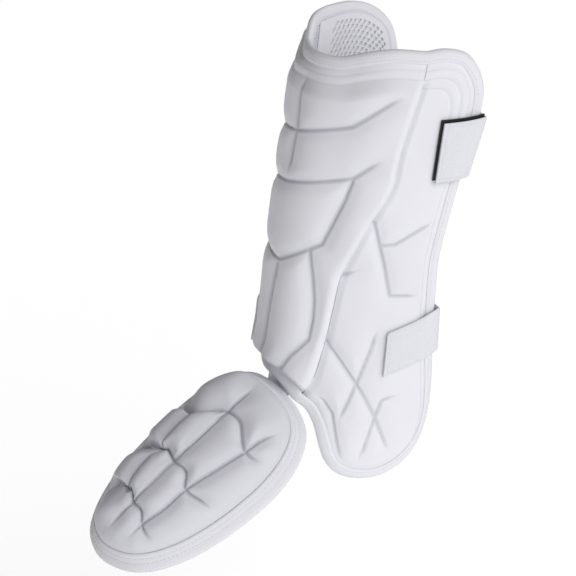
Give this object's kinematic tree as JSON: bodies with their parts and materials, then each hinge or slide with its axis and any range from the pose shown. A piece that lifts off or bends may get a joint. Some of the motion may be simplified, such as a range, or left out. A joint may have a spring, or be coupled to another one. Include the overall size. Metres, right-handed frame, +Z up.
{
  "type": "batter's leg guard with foot guard, for the left leg",
  "caption": "White moulded foam leg guard that wraps the shin and the outside of the ankle, with two straps and a domed foot guard.",
  "frame": {"origin": "on the leg's centre line, half way up the shin, where the guard is worn", "axes": "+Z up the shin, the front of the shin faces -Y, the outside of the left leg faces +X"},
  "size_m": [0.1531, 0.281, 0.4293],
  "materials": {
    "moulded_foam": "matte white skin on moulded foam",
    "spacer_mesh": "open knit spacer mesh",
    "binding_tape": "stitched folded tape",
    "strap_webbing": "soft white loop faced strap",
    "hook_tape": "black hook tape",
    "elastic_webbing": "white elastic webbing"
  },
  "bodies": {
    "root": {"front_pad": "moulded_foam", "side_pad": "moulded_foam", "inner_wing_pad": "moulded_foam", "mesh_lining": "spacer_mesh", "edge_binding": "binding_tape", "upper_strap": "strap_webbing", "hook_patch": "hook_tape", "lower_strap": "strap_webbing", "foot_pad": "moulded_foam", "foot_flange": "binding_tape", "ankle_link": "elastic_webbing"}
  },
  "joints": []
}
